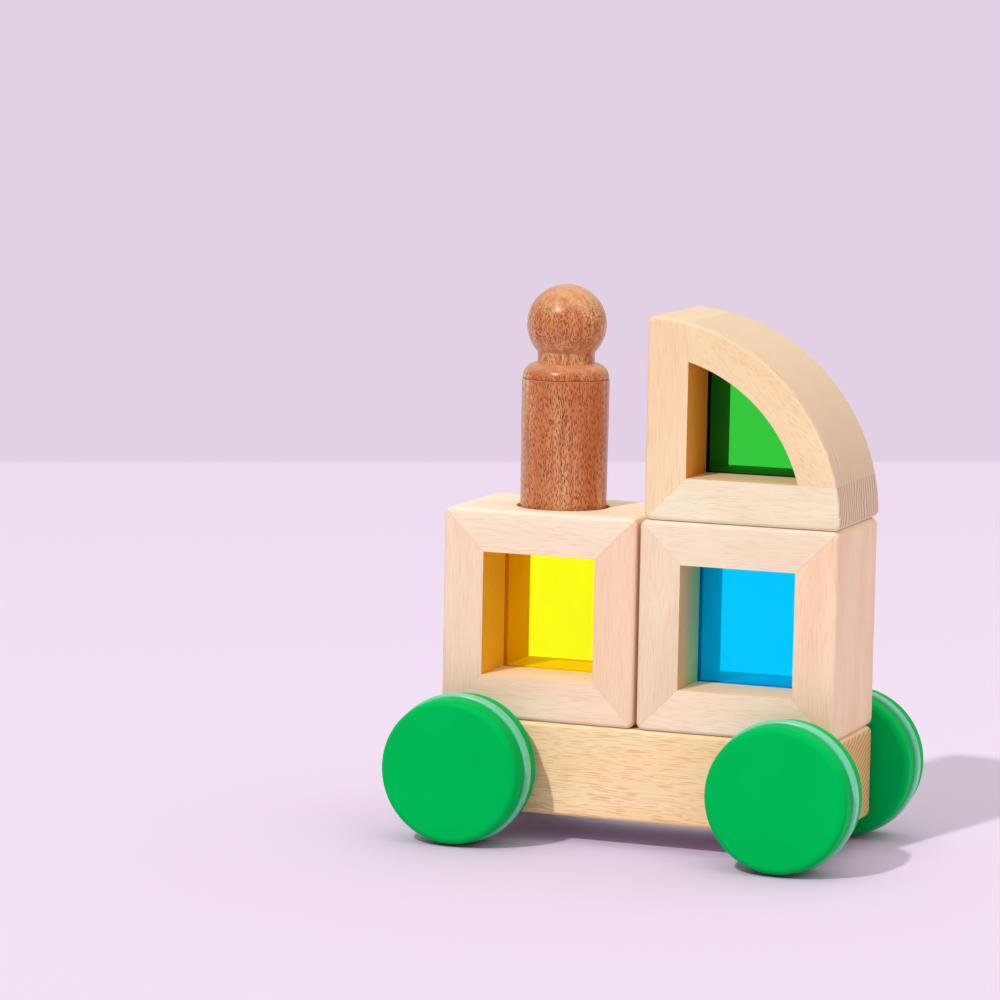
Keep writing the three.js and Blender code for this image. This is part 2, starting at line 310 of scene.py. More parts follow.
cells = vector_maths(timber, "DIVIDE", wavy, fed["Dash Size"])
heart = add(timber, "ShaderNodeTexVoronoi", {"Vector": cells, "Scale": 1.0}).outputs["Distance"]
patch = spread(timber, noise_in(timber, board, PATCH_SIZE), *PATCH_RANGE, -PATCH_REACH, PATCH_REACH)
reach = maths(timber, "ADD", fed["Dash Reach"], patch)
dash = spread(timber, maths(timber, "SUBTRACT", reach, heart), 0.0, DASH_EDGE)
lost_on_cut = maths(timber, "SUBTRACT", 1.0, fed["Dash On Cut"])
kept = maths(timber, "SUBTRACT", 1.0, maths(timber, "MULTIPLY", across_cut, lost_on_cut))
dash = maths(timber, "MULTIPLY", dash, kept)

colour = mixed(timber, tone, fed["Pale"], fed["Deep"])
LAYERS = (
    (streak, fed["Streak Strength"], "Deep"),
    (fibre, FIBRE_SHARE, "Deep"),
    (across_cut, CUT_SHARE, "Cut Colour"),
    (ring, fed["Ring Strength"], "Ring Colour"),
    (dash, fed["Dash Strength"], "Dash Colour"),
)
for mask, share, layer_colour in LAYERS:
    colour = mixed(timber, maths(timber, "MULTIPLY", mask, share), colour, fed[layer_colour])

# Painted light: the inner walls are multiplied by tints that paint the reveal's shade and the coloured glow
# that the pane throws on it.
tint = mixed(timber, fed["Inner Depth"], fed["Inner Edge Painted Light"], fed["Inner Painted Light"])
before_pane = spread(timber, fed["Inner Wall"], BEHIND_PANE, BEFORE_PANE)
tint = mixed(timber, before_pane, fed["Inner Back Painted Light"], tint)
on_wall = spread(timber, fed["Inner Wall"], 0.0, BEHIND_PANE)
timber.links.new(mixed(timber, on_wall, colour, tint, "MULTIPLY"), out["Color"])
rough = maths(timber, "MULTIPLY_ADD", fibre, ROUGH_SPREAD, fed["Rough Low"])
timber.links.new(rough, out["Roughness"])
raised = maths(timber, "MULTIPLY", fibre, FIBRE_HEIGHT)
height = maths(timber, "SUBTRACT", raised, maths(timber, "MULTIPLY", dash, DASH_HEIGHT))
timber.links.new(height, out["Height"])
print("timber figure has", len(timber.nodes), "nodes")

# %% [markdown]
# A timber material places that figure on one piece. A Mapping node turns the piece's own coordinates so
# that the pattern's X follows the real grain, and shifts them so that no two rails are cut from the same
# spot of the board. How squarely a surface cuts the grain is its normal's share along the grain, which is
# the same from every side. A studio tames the coloured light that bright pieces throw on their neighbours
# with white cards. Here a Light Path node does so: a ray that gathers soft light sees a greyer colour
# than the camera does.

# %% Timber material
ALONG_X = ((0, 0, 0), (1, 0, 0))
ALONG_Z = ((0, QUARTER_TURN, 0), (0, 0, 1))
CUT_RANGE = (0.62, 0.96)
INNER_MARK = "inner_wall"
BLOCK_FRONT = -20 * MM
PANE_FRONT = -2 * MM
BUMP_DEPTH = 0.1 * MM
SPILL_SHARE = 0.8
BEECH_BUMP = 0.12
BEECH_GLOSS = 0.25
BEECH = {
    "Ring Colour": shade(226, 178, 142), "Ring Width": 0.0022, "Ring Wander": 0.012, "Ring Strength": 0.25,
    "Dash Colour": shade(232, 190, 160), "Dash Size": (0.0080, 0.00036, 0.00036), "Dash Reach": 0.42,
    "Dash Strength": 0.36, "Dash On Cut": 0.1, "Cut Colour": shade(240, 203, 175),
    "Streak Size": (0.05, 0.0014, 0.0014), "Streak Strength": 0.25,
    "Inner Painted Light": WHITE, "Inner Back Painted Light": WHITE, "Rough Low": 0.43,
}


def dress(tree, shader, colour, figure, bump):
    tree.links.new(colour, shader.inputs["Base Color"])
    tree.links.new(figure.outputs["Roughness"], shader.inputs["Roughness"])
    feeds = {"Strength": bump, "Distance": BUMP_DEPTH, "Height": figure.outputs["Height"]}
    tree.links.new(add(tree, "ShaderNodeBump", feeds).outputs[0], shader.inputs["Normal"])


def timber_material(name, pose, shift, values, bump, gloss, cut_range):
    turn, facing = pose
    material, tree, shader = new_material(name)
    place = add(tree, "ShaderNodeTexCoord").outputs
    mapping = {"Vector": place["Object"], "Rotation": turn, "Location": shift}
    squarely = maths(tree, "ABSOLUTE", vector_maths(tree, "DOT_PRODUCT", place["Normal"], facing))
    across_block = add(tree, "ShaderNodeSeparateXYZ", {0: place["Object"]}).outputs["Y"]
    feeds = {
        "Board": add(tree, "ShaderNodeMapping", mapping).outputs[0],
        "Across Cut": spread(tree, squarely, *cut_range),
        "Inner Wall": add(tree, "ShaderNodeAttribute", attribute_name=INNER_MARK).outputs["Fac"],
        "Inner Depth": spread(tree, across_block, BLOCK_FRONT, PANE_FRONT),
    }
    figure = add(tree, "ShaderNodeGroup", {**feeds, **values}, node_tree=timber)
    dress(tree, shader, figure.outputs["Color"], figure, bump)
    set_inputs(shader, {"Specular IOR Level": gloss})
    return material


def calm_spill(material, colour):
    tree = material.node_tree
    base = tree.nodes["Principled BSDF"].inputs["Base Color"]
    gathering = add(tree, "ShaderNodeLightPath").outputs["Is Diffuse Ray"]
    gathered = maths(tree, "MULTIPLY", gathering, SPILL_SHARE)
    tree.links.new(mixed(tree, gathered, base.links[0].from_socket, colour), base)


def beech(name, pose, shift, pale, deep, cut_range=CUT_RANGE, **changes):
    values = {"Pale": shade(*pale), "Deep": shade(*deep), **BEECH, **changes}
    values.setdefault("Inner Edge Painted Light", values["Inner Painted Light"])
    return timber_material(name, pose, shift, values, BEECH_BUMP, BEECH_GLOSS, cut_range)


print("all beech shares", len(BEECH), "settings")

# %% [markdown]
# Every finished mesh becomes a piece in the same way. Its normals are made to point outwards, its flat
# faces are kept flat next to rounded edges by a Weighted Normal modifier, and it rides on the CAD body
# whose node it stands for.

# %% Helpers for pieces
CREASE = math.radians(40)


def finish_piece(bm, name, body, node, material, crease=CREASE):
    bmesh.ops.recalc_face_normals(bm, faces=bm.faces)
    open_edges = sum(1 for e in bm.edges if len(e.link_faces) != 2)
    mesh = bpy.data.meshes.new(name)
    bm.to_mesh(mesh)
    bm.free()
    mesh.polygons.foreach_set("use_smooth", [True] * len(mesh.polygons))
    mesh.set_sharp_from_angle(angle=crease)
    mesh.materials.append(material)
    piece = bpy.data.objects.new(name, mesh)
    bpy.context.scene.collection.objects.link(piece)
    flat = piece.modifiers.new("flat_faces", "WEIGHTED_NORMAL")
    flat.keep_sharp = True
    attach(piece, body)
    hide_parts(node)
    print(name, len(mesh.polygons), "faces,", open_edges, "open edges")


def span(*nodes):
    boxes = [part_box(n) for n in nodes]
    low = Vector(min(box[0][axis] for box in boxes) for axis in range(3))
    high = Vector(max(box[1][axis] for box in boxes) for axis in range(3))
    return low, high


def kind_of(geometry, kind):
    return [g for g in geometry if isinstance(g, kind)]


def round_edges(bm, edges, radius, segments):
    bmesh.ops.bevel(bm, geom=edges, offset=radius, offset_type="OFFSET", segments=segments, profile=0.5,
                    affect="EDGES", material=-1, clamp_overlap=True)


def keep_side(bm, point, outward):
    everything = bm.verts[:] + bm.edges[:] + bm.faces[:]
    cut = bmesh.ops.bisect_plane(bm, geom=everything, plane_co=point, plane_no=outward, clear_outer=True)
    bmesh.ops.holes_fill(bm, edges=kind_of(cut["geom_cut"], bmesh.types.BMEdge), sides=0)


low, high = span("rear_block_top_rail", "rear_block_bottom_rail")
print("rear block is", [round(v / MM, 2) for v in high - low], "mm")

# %% [markdown]
# The chassis is a bar of orange-toned beech. It starts as a cube stretched to the CAD box, whose four
# corner edges and then two outlines are rounded. For each axle bore a circle is laid into both long
# faces, the face is filled round it, and the two circles are bridged. A Boolean would do the same, but
# leaves less tidy faces.

# %% Chassis
CORNER_ROUND = 2.2 * MM
CORNER_STEPS = 7
EDGE_ROUND = 1.3 * MM
EDGE_STEPS = 4
BORE_RADIUS = 4.25 * MM
BORE_STEPS = 48
TINY = 1e-6
SQUARE_ON = 0.99
RINGS_ASLANT = ((math.radians(67), 0, 0), (1, 0, 0))
SPILL_LILAC = shade(225, 212, 230)
CHASSIS_FIGURE = {
    "Ring Colour": shade(140, 84, 34), "Ring Width": 0.0016, "Ring Wander": 0.003, "Ring Strength": 0.9,
    "Dash Colour": shade(226, 154, 84), "Dash Size": (0.0100, 0.00026, 0.00026), "Dash Reach": 0.40,
    "Dash Strength": 0.65, "Cut Colour": shade(225, 175, 109), "Streak Strength": 0.4,
}


def on_faces(edge, half_depth):
    first, second = (v.co.y for v in edge.verts)
    return abs(first - second) < TINY and abs(abs(first) - half_depth) < TINY


def edges_of(verts):
    return list({e for v in verts for e in v.link_edges})


def open_face(bm, way):
    face = max((f for f in bm.faces if f.normal.dot(way) > SQUARE_ON), key=lambda f: f.calc_area())
    borders = face.edges[:]
    bmesh.ops.delete(bm, geom=[face], context="FACES_ONLY")
    return borders


def bore_across(bm, places, radius, half_depth):
    rims = {x: [] for x, z in places}
    for side in (-1, 1):
        way = Vector((0, side, 0))
        borders = open_face(bm, way)
        for x, z in places:
            lay = Matrix.Translation((x, side * half_depth, z)) @ Matrix.Rotation(QUARTER_TURN, 4, "X")
            circle = bmesh.ops.create_circle(bm, segments=BORE_STEPS, radius=radius, matrix=lay)["verts"]
            rims[x] += edges_of(circle)
            borders += edges_of(circle)
        bmesh.ops.triangle_fill(bm, edges=borders, use_beauty=True, normal=way)
    for rim in rims.values():
        bmesh.ops.bridge_loops(bm, edges=rim)


low, high = span("chassis")
middle, size = (low + high) / 2, high - low
axle_low, axle_high = span("front_axle")
axle_place = (axle_low + axle_high) / 2
bm = bmesh.new()
bmesh.ops.create_cube(bm, size=1.0)
bmesh.ops.scale(bm, verts=bm.verts, vec=size)
round_edges(bm, [e for e in bm.edges if not on_faces(e, size.y / 2)], CORNER_ROUND, CORNER_STEPS)
round_edges(bm, [e for e in bm.edges if on_faces(e, size.y / 2)], EDGE_ROUND, EDGE_STEPS)
bm.normal_update()
bore_z = axle_place.z - middle.z
bore_across(bm, [(-axle_place.x, bore_z), (axle_place.x, bore_z)], BORE_RADIUS, size.y / 2)
bmesh.ops.translate(bm, verts=bm.verts, vec=middle)
chassis_beech = beech(
    "chassis_beech", RINGS_ASLANT, shift=(0.31, 0.02, 0.05), pale=(255, 232, 187), deep=(255, 218, 164),
    **CHASSIS_FIGURE)
calm_spill(chassis_beech, SPILL_LILAC)
finish_piece(bm, "chassis_timber", "chassis", "chassis", chassis_beech)

# %% [markdown]
# Each window block is a frame of four rails, mitred at the corners. All four are cut from one ring, as a
# joiner would check the fit: a front face between an outer and an inner loop is extruded to the block's
# depth, grooved inside for the pane, rounded, and then sliced along the mitres. A hairline is left
# between the rails, as the glue line shows. A face attribute marks the inner walls, with one value before
# the pane and another behind it, so that each side gets its own painted light: the reveal's shade and the
# pane's coloured glow are painted into the wood's colour there.

# %% Window ring
RAIL_WIDTH = 12.6 * MM
SIGHT_ROUND = 0.6 * MM
SIGHT_STEPS = 3
GLUE_LINE = 0.03 * MM
GROOVE_DEPTH = 2.4 * MM
GROOVE_HALF = 1.7 * MM
WALL_TILT = 0.5
SHARP_RADIANS = 1.0


def loop_through(bm, points):
    verts = [bm.verts.new(p) for p in points]
    return [bm.edges.new(pair) for pair in zip(verts, verts[1:] + verts[:1])]


def edge_middle(edge):
    return (edge.verts[0].co + edge.verts[1].co) / 2


def faces_inward(face, inside):
    return abs(face.normal.y) < WALL_TILT and (inside - face.calc_center_median()).dot(face.normal) > 0


def sharp_edges(bm, half_depth):
    return [e for e in bm.edges if on_faces(e, half_depth) and e.calc_face_angle(0) > SHARP_RADIANS]


def cut_groove(bm, inside):
    for y in (-GROOVE_HALF, GROOVE_HALF):
        walls = [f for f in bm.faces if faces_inward(f, inside)]
        parts = walls + list({e for f in walls for e in f.edges}) + list({v for f in walls for v in f.verts})
        bmesh.ops.bisect_plane(bm, geom=parts, plane_co=(0, y, 0), plane_no=(0, 1, 0))
    walls = [f for f in bm.faces if faces_inward(f, inside)]
    strip = [f for f in walls if abs(f.calc_center_median().y) < GROOVE_HALF]
    bmesh.ops.inset_region(bm, faces=strip, thickness=0, depth=-GROOVE_DEPTH, use_even_offset=True)
    bm.normal_update()


def new_ring():
    bm = bmesh.new()
    bm.faces.layers.float.new(INNER_MARK)
    return bm


def window_ring(bm, outer, inner, depth, inside, is_corner):
    ring = bmesh.ops.bridge_loops(bm, edges=outer + inner)["faces"]
    risen = bmesh.ops.extrude_face_region(bm, geom=ring)["geom"]
    bmesh.ops.translate(bm, verts=kind_of(risen, bmesh.types.BMVert), vec=(0, depth, 0))
    bmesh.ops.recalc_face_normals(bm, faces=bm.faces)
    # The mark tells the timber material where to paint the reveal's shade and the pane's coloured glow.
    mark = bm.faces.layers.float[INNER_MARK]
    for face in bm.faces:
        face[mark] = BEHIND_PANE if faces_inward(face, inside) else 0.0
    cut_groove(bm, inside)
    for face in bm.faces:
        if face[mark] and face.calc_center_median().y < 0:
            face[mark] = BEFORE_PANE
    round_edges(bm, [e for e in bm.edges if is_corner(e)], CORNER_ROUND, CORNER_STEPS)
    bm.normal_update()
    sharp = sharp_edges(bm, depth / 2)
    outline = [e for e in sharp if not any(faces_inward(f, inside) for f in e.link_faces)]
    round_edges(bm, outline, EDGE_ROUND, EDGE_STEPS)
    bm.normal_update()
    round_edges(bm, sharp_edges(bm, depth / 2), SIGHT_ROUND, SIGHT_STEPS)
    bm.normal_update()


def square_ring(size):
    half = size / 2
    opening = half - Vector((RAIL_WIDTH, 0, RAIL_WIDTH))
    bm = new_ring()
    signs = ((-1, -1), (1, -1), (1, 1), (-1, 1))
    outer = loop_through(bm, [(x * half.x, -half.y, z * half.z) for x, z in signs])
    inner = loop_through(bm, [(x * opening.x, -half.y, z * opening.z) for x, z in signs])

    def is_corner(edge):
        point = edge_middle(edge)
        return abs(abs(point.x) - half.x) < TINY and abs(abs(point.z) - half.z) < TINY

    window_ring(bm, outer, inner, size.y, Vector((0, 0, 0)), is_corner)
    return bm


print("a rail is", round(RAIL_WIDTH / MM, 1), "mm wide, its groove", round(2 * GROOVE_HALF / MM, 1), "mm")

# %% [markdown]
# A rail keeps what lies between two slanting planes through the ring's corners. The rear block's top rail
# also has the round socket for the driver: its top face is filled round a circle, whose edge is led down
# in small steps for a rounded rim, then straight to a flat floor.

# %% Rails, socket and the two square blocks
SOCKET_RADIUS = 13.7 * MM
SOCKET_DEPTH = 8.5 * MM
SOCKET_RIM = 0.4 * MM
SOCKET_STEPS = 96
RIM_STEPS = 3
UP = Vector((0, 0, 1))
FRONTWARD = Vector((1, 0, 0))
SIDES = {
    "top_rail": (UP, FRONTWARD), "bottom_rail": (-UP, FRONTWARD),
    "front_stile": (FRONTWARD, UP), "rear_stile": (-FRONTWARD, UP),
}


def mitred_rail(ring, half, facing, along):
    bm = ring.copy()
    for way in (-1, 1):
        corner = Vector(a * b for a, b in zip(facing + way * along, half))
        outward = (way * along - facing).normalized()
        keep_side(bm, corner - outward * GLUE_LINE / 2, outward)
    return bm


def sink_socket(bm, top):
    borders = open_face(bm, UP)
    lay = Matrix.Translation((0, 0, top))
    wide = SOCKET_RADIUS + SOCKET_RIM
    rim = edges_of(bmesh.ops.create_circle(bm, segments=SOCKET_STEPS, radius=wide, matrix=lay)["verts"])
    bmesh.ops.triangle_fill(bm, edges=borders + rim, use_beauty=True, normal=UP)
    steps = [QUARTER_TURN * (i + 1) / RIM_STEPS for i in range(RIM_STEPS)]
    levels = [(wide - SOCKET_RIM * math.sin(a), top - SOCKET_RIM * (1 - math.cos(a))) for a in steps]
    levels.append((SOCKET_RADIUS, top - SOCKET_DEPTH))
    radius, height = wide, top
    for next_radius, next_height in levels:
        made = bmesh.ops.extrude_edge_only(bm, edges=rim)["geom"]
        verts = kind_of(made, bmesh.types.BMVert)
        rim = kind_of(made, bmesh.types.BMEdge)
        share = next_radius / radius
        bmesh.ops.scale(bm, verts=verts, vec=(share, share, 1))
        bmesh.ops.translate(bm, verts=verts, vec=(0, 0, next_height - height))
        radius, height = next_radius, next_height
    bmesh.ops.contextual_create(bm, geom=rim)


def square_block(body, looks, has_socket):
    low, high = span(*[f"{body}_{rail}" for rail in SIDES])
    middle, half = (low + high) / 2, (high - low) / 2
    ring = square_ring(high - low)
    for rail, (facing, along) in SIDES.items():
        bm = mitred_rail(ring, half, facing, along)
        if has_socket and rail == "top_rail":
            sink_socket(bm, half.z)
        bmesh.ops.translate(bm, verts=bm.verts, vec=middle)
        node = f"{body}_{rail}"
        finish_piece(bm, node + "_timber", body, node, looks[rail])
    ring.free()


FINE_DASHES = {
    "Dash Size": (0.0120, 0.0003, 0.0003), "Dash Strength": 0.34, "Dash Colour": shade(226, 178, 144)}
# Painted light for the window reveals: each set of tints paints the shade in a window's inner walls and the
# coloured glow of its pane.
AMBER_PAINTED_LIGHT = {"Inner Painted Light": shade(255, 212, 60), "Inner Back Painted Light": shade(255, 208, 70)}
OLIVE_PAINTED_LIGHT = {
    "Inner Edge Painted Light": shade(255, 232, 180), "Inner Painted Light": shade(150, 255, 205),
    "Inner Back Painted Light": (1.0, 1.25, 1.7, 1.0)}
UMBER_PAINTED_SHADE = {
    "Inner Edge Painted Light": shade(255, 200, 104), "Inner Painted Light": shade(255, 176, 60),
    "Inner Back Painted Light": shade(150, 138, 66)}
SKY_PAINTED_LIGHT = {"Inner Painted Light": shade(255, 244, 226), "Inner Back Painted Light": (1.0, 1.16, 1.5, 1.0)}
DARK_PAINTED_SHADE = {"Inner Painted Light": shade(255, 236, 216), "Inner Back Painted Light": shade(164, 172, 132)}
rear_looks = {
    "top_rail": beech(
        "rear_top_beech", ALONG_X, shift=(0.11, 0.021, 0.4), pale=(253, 235, 208), deep=(246, 222, 191)),
    "bottom_rail": beech(
        "rear_bottom_beech", ALONG_X, shift=(0.53, 0.047, 0.2), pale=(255, 238, 210), deep=(255, 221, 188)),
    "front_stile": beech(
        "rear_front_stile_beech", ALONG_Z, shift=(0.2, 0.033, 0.7),
        pale=(254, 222, 188), deep=(246, 208, 173), **FINE_DASHES),
    "rear_stile": beech(
        "rear_rear_stile_beech", ALONG_Z, shift=(0.8, 0.058, 0.1),
        pale=(251, 223, 194), deep=(242, 208, 178), **FINE_DASHES, **AMBER_PAINTED_LIGHT),
}
front_looks = {
    "top_rail": beech(
        "front_top_beech", ALONG_X, shift=(0.34, 0.071, 0.9), pale=(250, 233, 206), deep=(243, 220, 189)),
    "bottom_rail": beech(
        "front_bottom_beech", ALONG_X, shift=(0.77, 0.012, 0.6), pale=(255, 238, 212), deep=(255, 226, 196),
        **SKY_PAINTED_LIGHT),
    "front_stile": beech(
        "front_front_stile_beech", ALONG_Z, shift=(0.4, 0.081, 0.3),
        pale=(255, 225, 191), deep=(250, 210, 175), **FINE_DASHES),
    "rear_stile": beech(
        "front_rear_stile_beech", ALONG_Z, shift=(0.6, 0.027, 0.5),
        pale=(250, 228, 197), deep=(241, 212, 181), **FINE_DASHES, **OLIVE_PAINTED_LIGHT),
}
square_block("rear_block", rear_looks, True)
square_block("front_block", front_looks, False)

# %% [markdown]
# The quarter-arch block is made like the square ones: one ring, cut apart. Its two loops are a corner and
# an arc each, and an arc is one vertex spun about a centre. A stile and a sill meet in a mitre, and the
# arch is glued on both. The arch's grain follows its chord, and its sawn outer curve is toned like a cut
# across the grain, so the direction that counts as squarely cut is the one straight out from the middle
# of the curve.

# %% Arch block
ARCH_BAND = 11.2 * MM
ARCH_STEPS = 24
SEAM = 0.01 * MM
ARCH_INSIDE = Vector((26 * MM, 0, 26 * MM))
ARCH_CUT_RANGE = (0.5, 0.78)
ALONG_CHORD = ((0, math.radians(-45), 0), (math.sqrt(0.5), 0, math.sqrt(0.5)))
DOWN_MITRE = Vector((1, 0, -1)).normalized()
ARCH_CUT_COLOUR = shade(226, 199, 166)
STILE_FIGURE = {**FINE_DASHES, **UMBER_PAINTED_SHADE, "Cut Colour": ARCH_CUT_COLOUR, "Dash On Cut": 0.6}
SILL_FIGURE = {
    "Ring Colour": shade(158, 102, 74), "Ring Width": 0.0022, "Ring Wander": 0.014, "Ring Strength": 1.0,
    "Dash Colour": shade(222, 182, 146), "Dash Strength": 0.3, "Cut Colour": shade(228, 190, 158),
    **DARK_PAINTED_SHADE,
}
CURVE_FIGURE = {
    "Ring Colour": shade(190, 150, 118), "Ring Width": 0.0018, "Ring Wander": 0.02, "Ring Strength": 0.6,
    "Dash Colour": shade(226, 166, 118), "Dash Size": (0.0034, 0.0004, 0.0004), "Dash Strength": 0.32,
    "Dash On Cut": 0.9, "Cut Colour": ARCH_CUT_COLOUR,
}


def arc_on(bm, start, centre, angle, steps):
    first = bm.verts.new(start)
    spun = bmesh.ops.spin(bm, geom=[first], cent=centre, axis=(0, 1, 0), angle=angle, steps=steps)
    return first, kind_of(spun["geom_last"], bmesh.types.BMVert)[0]


def corner_and_arc(bm, y, corner, radius):
    tilt = math.asin(corner / radius)
    corner_vert = bm.verts.new((corner, y, corner))
    before = set(bm.edges)
    start = (radius * math.cos(tilt), y, corner)
    first, last = arc_on(bm, start, (0, y, 0), 2 * tilt - QUARTER_TURN, ARCH_STEPS)
    chain = [e for e in bm.edges if e not in before]
    return [bm.edges.new((corner_vert, first)), *chain, bm.edges.new((last, corner_vert))]


low, high = span("arch_block_stile", "arch_block_sill", "arch_block_arch")
depth = high.y - low.y
arch_radius = high.z - low.z
corner_place = Vector((low.x, 0, low.z))
ring = new_ring()
outer = corner_and_arc(ring, -depth / 2, 0.0, arch_radius)
inner = corner_and_arc(ring, -depth / 2, RAIL_WIDTH, arch_radius - ARCH_BAND)


def is_arch_corner(edge):
    point = edge_middle(edge)
    runs_across = abs(edge.verts[0].co.y - edge.verts[1].co.y) > depth / 2
    ends = ((0, 0), (arch_radius, 0), (0, arch_radius))
    return runs_across and any(abs(point.x - x) < TINY and abs(point.z - z) < TINY for x, z in ends)


window_ring(ring, outer, inner, depth, ARCH_INSIDE, is_arch_corner)
near, far = RAIL_WIDTH + SEAM, RAIL_WIDTH + GLUE_LINE
arch_cuts = {
    "stile": [((near, 0, 0), FRONTWARD), (-DOWN_MITRE * GLUE_LINE / 2, DOWN_MITRE)],
    "sill": [((0, 0, near), UP), (DOWN_MITRE * GLUE_LINE / 2, -DOWN_MITRE)],
    "arch": [((far, 0, 0), -FRONTWARD), ((0, 0, far), -UP)],
}
arch_looks = {
    "stile": beech(
        "arch_stile_beech", ALONG_Z, shift=(0.9, 0.064, 0.2), pale=(254, 227, 185), deep=(247, 214, 171),
        **STILE_FIGURE),
    "sill": beech(
        "arch_sill_beech", ALONG_X, shift=(0.15, 0.092, 0.8), pale=(251, 240, 210), deep=(243, 226, 192),
        **SILL_FIGURE),
    "arch": beech(
        "arch_curve_beech", ALONG_CHORD, shift=(0.45, 0.037, 0.3),
        pale=(252, 227, 184), deep=(245, 213, 167), cut_range=ARCH_CUT_RANGE, **CURVE_FIGURE),
}
for part, cuts in arch_cuts.items():
    bm = ring.copy()
    for point, outward in cuts:
        keep_side(bm, point, outward)
    bmesh.ops.translate(bm, verts=bm.verts, vec=corner_place)
    node = f"arch_block_{part}"
    finish_piece(bm, node + "_timber", "arch_block", node, arch_looks[part])
ring.free()

# %% [markdown]
# Painted, moulded and cast surfaces are never perfectly even. This small group gives all of them the same
# kind of unevenness: a fine skin for the bump, and slow patches for the roughness and the colour. Each
# material sets its own size for it.

# %% Uneven skin
skin_group, fed, out = new_group(
    "uneven_skin",
    [("Place", "Vector"), ("Grain Size", "Vector"), ("Patch Size", "Vector"), ("Rough Low", "Float"),
     ("Rough High", "Float")],
    [("Patch", "Float"), ("Roughness", "Float"), ("Height", "Float")],
)
SKIN_RANGE = (0.3, 0.7)
patch = spread(skin_group, noise_in(skin_group, fed["Place"], fed["Patch Size"]), *SKIN_RANGE)
skin_group.links.new(patch, out["Patch"])
rough_spread = maths(skin_group, "SUBTRACT", fed["Rough High"], fed["Rough Low"])
rough = maths(skin_group, "MULTIPLY_ADD", patch, rough_spread, fed["Rough Low"])
skin_group.links.new(rough, out["Roughness"])
skin_group.links.new(noise_in(skin_group, fed["Place"], fed["Grain Size"]), out["Height"])


def skinned(name, first, second, grain, patch, rough, bump):
    material, tree, shader = new_material(name)
    feeds = {
        "Place": add(tree, "ShaderNodeTexCoord").outputs["Object"], "Grain Size": (grain,) * 3,
        "Patch Size": (patch,) * 3, "Rough Low": rough[0], "Rough High": rough[1],
    }
    skin = add(tree, "ShaderNodeGroup", feeds, node_tree=skin_group)
    dress(tree, shader, mixed(tree, skin.outputs["Patch"], first, second), skin, bump)
    return material, shader


print("uneven skin has", len(skin_group.nodes), "nodes")

# %% [markdown]
# The wheels are turned discs under green paint, each with a groove for an elastic band. A turned piece is
# a profile spun once round: the profile is drawn on one side of the axle, point by point, and the rims
# are rounded afterwards. The axle is a plain dowel.

# %% Wheels and axles
WHEEL_RIM = 2.0 * MM
WHEEL_STEPS = 6
WHEEL_LIP = 7.0 * MM
WHEEL_BORE = 4.05 * MM
BORE_DEPTH = 13.0 * MM
BAND_WIDTH = 4.0 * MM
BAND_SEAT = 2.2 * MM
LIP_ROUND = 0.3 * MM
LIP_STEPS = 2
TURN_STEPS = 128
HOOP_MISS = 10 * TINY
ALONG_Y = ((0, 0, -QUARTER_TURN), (0, 1, 0))
SPILL_GREY = shade(96, 120, 104)


def spin_round(bm, geometry, centre, axis):
    bmesh.ops.spin(bm, geom=geometry, cent=centre, axis=axis, angle=FULL_TURN, steps=TURN_STEPS,
                   use_merge=True)
    bmesh.ops.remove_doubles(bm, verts=bm.verts, dist=TINY)


def turn_on_axle(bm, outline, centre, closed=False):
    verts = [bm.verts.new((centre.x + radius, y, centre.z)) for radius, y in outline]
    pairs = list(zip(verts, verts[1:]))
    if closed:
        pairs.append((verts[-1], verts[0]))
    edges = [bm.edges.new(pair) for pair in pairs]
    spin_round(bm, verts + edges, centre, (0, 1, 0))
    bmesh.ops.recalc_face_normals(bm, faces=bm.faces)


def hoops(bm, centre, radius, *places):
    def lies_at(vert, y):
        reach = math.hypot(vert.co.x - centre.x, vert.co.z - centre.z)
        return abs(reach - radius) < HOOP_MISS and abs(vert.co.y - y) < HOOP_MISS

    return [e for y in places for e in bm.edges if all(lies_at(v, y) for v in e.verts)]


green_paint, shader = skinned(
    "green_paint", shade(0, 187, 86), shade(0, 183, 83), grain=0.0009, patch=0.02, rough=(0.30, 0.38),
    bump=0.06)
set_inputs(shader, {"Specular IOR Level": 0.01})
calm_spill(green_paint, SPILL_GREY)
dowel_beech = beech(
    "dowel_beech", ALONG_Y, shift=(0.5, 0.1, 0.3), pale=(248, 216, 182), deep=(238, 200, 160))

